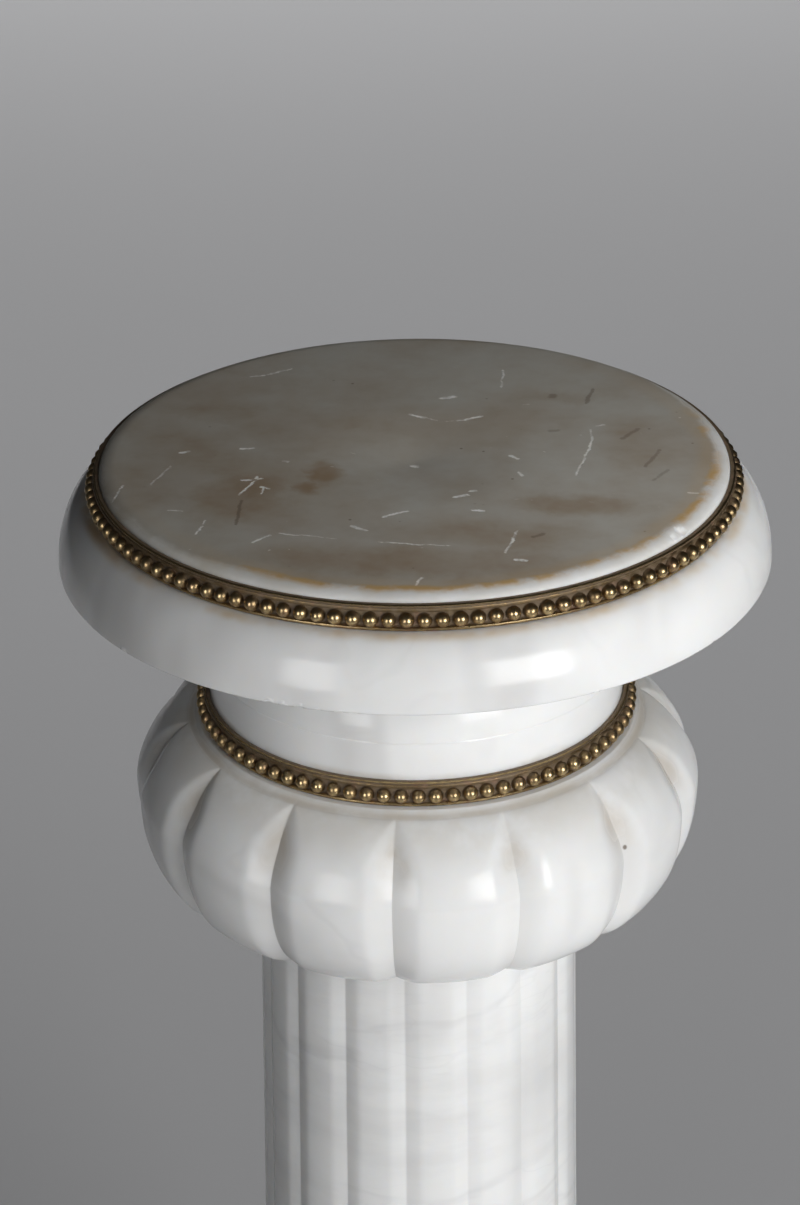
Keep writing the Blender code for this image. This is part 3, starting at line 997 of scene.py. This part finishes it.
# %% [markdown]
# ## The slab
#
# The slab's side is a quarter round with a crisp lower arris. The raised disc has a rounded shoulder
# and a flat top, hollowed a little towards a point in the middle, as a turner leaves it. Small chips
# are bitten out of the arris and one out of the shoulder: a bite pushes every point that lies inside a
# rough ball out to the ball's skin, and marks it as broken for the finish. The worn finish goes on
# the faces of the disc, and the side's finish on the rest.

# %% Slab
HOLLOW_DEPTH = 0.0034
HOLLOW_RADIUS = 0.055
HOLLOW_POWER = 1.5            # 1 is a cone, more runs out more softly
FLAT_STEPS = 44
ARRIS = 0.0014
SLAB_COLUMNS = 640


def slab_profile():
    base, top = slab_low.z, slab_high.z
    side = (SLAB_RADIUS, base + ARRIS)
    flat = []
    for i in range(FLAT_STEPS):
        radius = FLAT_RADIUS * i / FLAT_STEPS
        dip = HOLLOW_DEPTH * max(0.0, 1.0 - radius / HOLLOW_RADIUS) ** HOLLOW_POWER
        flat.append((radius, top - dip))
    shoulder = bow((FLAT_RADIUS, top), (DISC_RADIUS, top - SHOULDER_DROP), 9)
    seat = [shoulder[-1], (DISC_RADIUS, DISC_SEAT), (DISC_RADIUS + RING_SEAT_WIDTH, DISC_SEAT)]
    profile = flat + [(FLAT_RADIUS, top)] + shoulder[:-1] + divide(seat, 0.004)
    profile += bow(seat[-1], side, 30) + under_bow(side, (SLAB_RADIUS - ARRIS, base), 5)
    return divide(profile + [(0.0, base)], FLAT_STEP)


def bite(mesh, centre, radius, seed):
    """Take a rough ball out of a mesh, and mark what it touched."""
    broken = mesh.attributes.get("broken") or mesh.attributes.new("broken", "FLOAT", "POINT")
    for vertex in mesh.vertices:
        away = vertex.co - centre
        if away.length > radius * 1.3:
            continue
        rough = radius * (1.0 + 0.28 * noise.noise(vertex.co * 260.0 + Vector((seed, 0.0, 0.0))))
        if away.length < rough:
            vertex.co = centre + away.normalized() * rough
            broken.data[vertex.index].value = 1.0


def at(azimuth, radius, height):
    """A place by its angle in degrees from -Y towards +X."""
    return Vector((radius * sin(radians(azimuth)), -radius * cos(radians(azimuth)), height))


slab = lathe("slab", slab_profile(), azimuths(1, SLAB_COLUMNS))
luck = random.Random(5)
# azimuth in degrees, size in millimetres
chips = [(-17.5, 1.9), (-15.1, 1.3), (-12.6, 1.6), (-9.7, 1.2), (-6.3, 1.5), (-4.1, 1.0), (33.0, 1.1)]
chips += [(luck.uniform(50, 330), luck.uniform(0.9, 2.0)) for _ in range(12)]
for number, (azimuth, size) in enumerate(chips):
    reach = size * MM
    bite(slab.data, at(azimuth, SLAB_RADIUS + reach * 0.45, slab_low.z - reach * 0.35), reach * 1.5, number)
bite(slab.data, at(60.5, DISC_RADIUS - 0.0005, slab_high.z + 0.0016), 0.0042, 40)
bite(slab.data, at(57.5, DISC_RADIUS - 0.0010, slab_high.z + 0.0014), 0.0032, 41)
polish(slab, slab_stone)
slab.data.materials.append(worn_stone)
DISC_LOW = slab_high.z - SHOULDER_DROP - 0.002
for face in slab.data.polygons:
    x, y, z = face.center
    if z > DISC_LOW and hypot(x, y) < DISC_RADIUS:
        face.material_index = 1
print("chips:", len(chips), "on the arris and 2 bites on the shoulder")

# %% [markdown]
# ## The brass
#
# Both beaded rings are one stock of pressed strip: a thin bright arris at the top, a flat fillet, a
# sunk bed with the beads, and a small lip below. The band at the shaft's foot is plain half-round.

# %% Beaded rings
BEAD_RADIUS = 0.0034
BEAD_HEIGHT = 0.0050          # of the beads' centres above the seat
BEAD_STAND_OUT = 0.0063
RING_COLUMNS = 240
RING_POINTS = [
    # out from the stone, up from the seat, how rubbed
    (0.0000, 0.0114, -0.3), (0.0014, 0.0114, 0.0), (0.0019, 0.0113, 0.55), (0.0022, 0.0110, 0.85),
    (0.0022, 0.0106, 0.10), (0.0020, 0.0103, -0.1), (0.0021, 0.0101, -0.1), (0.0025, 0.0100, 0.15),
    (0.0026, 0.0098, 0.15), (0.0026, 0.0092, 0.10), (0.0026, 0.0088, 0.25), (0.0024, 0.0086, 0.2),
    (0.0020, 0.0083, 0.0), (0.0019, 0.0076, -0.1), (0.0019, 0.0060, -0.2), (0.0020, 0.0040, -0.2),
    (0.0021, 0.0024, -0.1), (0.0026, 0.0019, 0.0), (0.0032, 0.0017, 0.40), (0.0036, 0.0014, 0.70),
    (0.0037, 0.0009, 0.6), (0.0036, 0.0005, 0.4), (0.0033, 0.0002, 0.1), (0.0030, 0.0000, 0.0),
    (0.0000, 0.0000, 0.0),
]


def beaded_ring(name, low, high, beads):
    """A ring around its solid's place, with its own row of beads."""
    inner = (high.x - low.x) / 2 - BEAD_STAND_OUT
    profile = [(inner + out, low.z + up) for out, up, _ in RING_POINTS]
    rows = {"rub": [rub for _, _, rub in RING_POINTS]}
    ring = lathe(name, profile, azimuths(1, RING_COLUMNS), rows, closed=True)
    return run_tree(ring, row_of_beads, {
        "Count": beads, "Circle": inner + BEAD_STAND_OUT - BEAD_RADIUS, "Height": low.z + BEAD_HEIGHT,
        "Bead": BEAD_RADIUS, "Seed": beads, "Material": brass,
    })


top_ring = beaded_ring("beaded_top_ring", top_ring_low, top_ring_high, 121)
neck_ring = beaded_ring("beaded_neck_ring", neck_ring_low, neck_ring_high, 81)

# %% Plain band at the shaft's foot
BAND_THICKNESS = 0.007
BAND_SWELL = 0.0035
BAND_STEPS = 16
BAND_COLUMNS = 160


def band_profile():
    """The outline, and how rubbed each of its points is."""
    outer = band_high.x
    inner = outer - BAND_THICKNESS
    low, high = band_low.z, band_high.z
    points, rubbed = [(inner, high)], [0.2]
    for i in range(BAND_STEPS + 1):
        turn = pi / 2 - pi * i / BAND_STEPS
        z = (low + high) / 2 + (high - low) / 2 * sin(turn)
        points.append((outer - BAND_SWELL + BAND_SWELL * cos(turn), z))
        rubbed.append(0.25 + 0.75 * sin(pi * i / BAND_STEPS))
    return points + [(inner, low)], rubbed + [0.0]


profile, rubbed = band_profile()
band = lathe("band", profile, azimuths(1, BAND_COLUMNS), {"rub": rubbed}, closed=True)
polish(band, brass, UNEVEN / 2)

# %% [markdown]
# ## Who stands for what
#
# Each finer piece rides on the one body of the row, and the solid it stands for is hidden.

# %% Ties to the frame
for piece, node, slot in (
    (plinth, "plinth", "alabaster"), (foot, "turned_foot", "alabaster"), (band, "foot_band", "brass"),
    (shaft, "reeded_shaft", "alabaster"), (capital, "gadrooned_capital", "alabaster"),
    (neck_ring, "neck_ring", "brass"), (slab, "top_slab", "alabaster"), (top_ring, "top_ring", "brass"),
):
    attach(piece, "root")
    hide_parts(node)

# %% [markdown]
# ## Camera, lights and floor
#
# The camera's place, aim and lens come from fitting the turned edges in the photograph: the two brass
# rings, the ledge and the slab. It looks down on the slab from just over a metre and a half, from
# close by, with a long lens.
#
# Lighting the stone and showing a window in its polish are two tasks, so they are split. Lamps light
# the stone and don't show in it: a large one to the right of the camera, a weaker one to the left, a
# fill for the right side, a small one close over the top, and a broad one behind the column that keeps
# its back readable. Two cards do the reverse: they light nothing, and show as the bright windows on
# the slab's side and on the gadroons. A last lamp hangs over the floor behind the column.

# %% Camera
CAMERA_DISTANCE = 1.4412      # from the axis
CAMERA_HEIGHT = 1.7092
CAMERA_AZIMUTH = radians(5.2)
CAMERA_DOWN = 0.4651          # radians below the horizon
CAMERA_YAW = -0.0049
CAMERA_ROLL = -0.0117
FOCAL_PIXELS = 3537.67
PHOTO_HEIGHT = 1205
SENSOR = 36.0


def aim():
    """The camera's place and turn as one matrix."""
    level_share = cos(CAMERA_DOWN)
    ahead = Vector((sin(CAMERA_YAW) * level_share, cos(CAMERA_YAW) * level_share, -sin(CAMERA_DOWN)))
    level = Vector((cos(CAMERA_YAW), -sin(CAMERA_YAW), 0.0))
    upward = level.cross(ahead)
    right = level * cos(CAMERA_ROLL) + upward * sin(CAMERA_ROLL)
    up = upward * cos(CAMERA_ROLL) - level * sin(CAMERA_ROLL)
    turn = Matrix((right, up, -ahead)).transposed().to_4x4()
    around = Matrix.Rotation(CAMERA_AZIMUTH, 4, "Z")
    return around @ Matrix.Translation((0.0, -CAMERA_DISTANCE, CAMERA_HEIGHT)) @ turn


lens = bpy.data.cameras.new("camera")
lens.sensor_width = SENSOR
lens.lens = FOCAL_PIXELS * SENSOR / PHOTO_HEIGHT
camera = stand("camera", lens)
camera.matrix_world = aim()
bpy.context.scene.camera = camera
print("lens", round(lens.lens, 1), "mm at", [round(c, 3) for c in camera.location])

# %% Lights
AIM_HEIGHT = 0.98
SOFTBOXES = [
    # name, angle to the right of the camera and above level, distance, width, height, watts, task
    ("right softbox", 32.0, 15.0, 2.1, 1.00, 1.30, 31.0, "light"),
    ("left softbox", -12.0, -4.0, 2.2, 0.60, 1.10, 7.4, "light"),
    ("right fill", 74.0, -12.0, 2.0, 0.80, 0.90, 7.0, "light"),
    ("lamp over the top", 64.0, 56.0, 0.36, 0.20, 0.20, 0.17, "light"),
    ("right card", 34.0, 11.5, 2.0, 0.84, 1.04, 24.0, "reflection"),
    ("left card", -31.0, 8.0, 2.2, 0.60, 1.25, 14.0, "reflection"),
    ("back lamp", 180.0, 4.0, 5.0, 4.0, 2.0, 30.0, "light"),
]
FLOOR_LAMP_BACK = 3.2         # behind the axis, seen from the camera
FLOOR_LAMP_HEIGHT = 3.4


def lamp(name, width, height, watts):
    """A rectangular lamp that the camera doesn't see."""
    data = bpy.data.lights.new(name, "AREA")
    data.shape = "RECTANGLE"
    data.size = width
    data.size_y = height
    data.energy = watts
    light = stand(name, data)
    light.visible_camera = False
    return light


for name, azimuth, elevation, distance, width, height, watts, task in SOFTBOXES:
    turn = radians(azimuth) + CAMERA_AZIMUTH
    rise = radians(elevation)
    away = Vector((sin(turn) * cos(rise), -cos(turn) * cos(rise), sin(rise)))
    light = lamp(name, width, height, watts)
    light.location = Vector((0.0, 0.0, AIM_HEIGHT)) + away * distance
    light.rotation_euler = away.to_track_quat("Z", "Y").to_euler()
    light.visible_glossy = task == "reflection"
    light.visible_diffuse = task == "light"
    print(name, "is there for", task)

hung = lamp("floor lamp", 6.0, 4.5, 21.0)
hung.data.spread = radians(50)
back_x, back_y = -sin(CAMERA_AZIMUTH) * FLOOR_LAMP_BACK, cos(CAMERA_AZIMUTH) * FLOOR_LAMP_BACK
hung.location = (back_x, back_y, FLOOR_LAMP_HEIGHT)
hung.visible_glossy = False

# %% Room and floor
ROOM = (0.55, 0.57, 0.60, 1.0)
ROOM_STRENGTH = 0.03
FLOOR_LIGHT = (0.66, 0.66, 0.67)
FLOOR_DARK = (0.60, 0.60, 0.61)
FLOOR_REACH = 12.0

world = bpy.data.worlds.new("room")
world.use_nodes = True
room = world.node_tree.nodes["Background"]
room.inputs["Color"].default_value = ROOM
room.inputs["Strength"].default_value = ROOM_STRENGTH
bpy.context.scene.world = world
bpy.context.scene.view_settings.view_transform = "Standard"


def pale_floor():
    material, board, place = new_material("pale floor")
    tone = board.noise(place, 1.5, 3.0, 0.5, 41.0)
    colour = board.mix(tone * 0.3, FLOOR_LIGHT, FLOOR_DARK)
    finish_with(board, {"Base Color": colour, "Roughness": 0.8})
    mesh = bpy.data.meshes.new("floor")
    signs = ((-1, -1), (1, -1), (1, 1), (-1, 1))
    mesh.from_pydata([(x * FLOOR_REACH, y * FLOOR_REACH, 0.0) for x, y in signs], [], [(0, 1, 2, 3)])
    mesh.materials.append(material)
    return stand("floor", mesh)


floor = pale_floor()
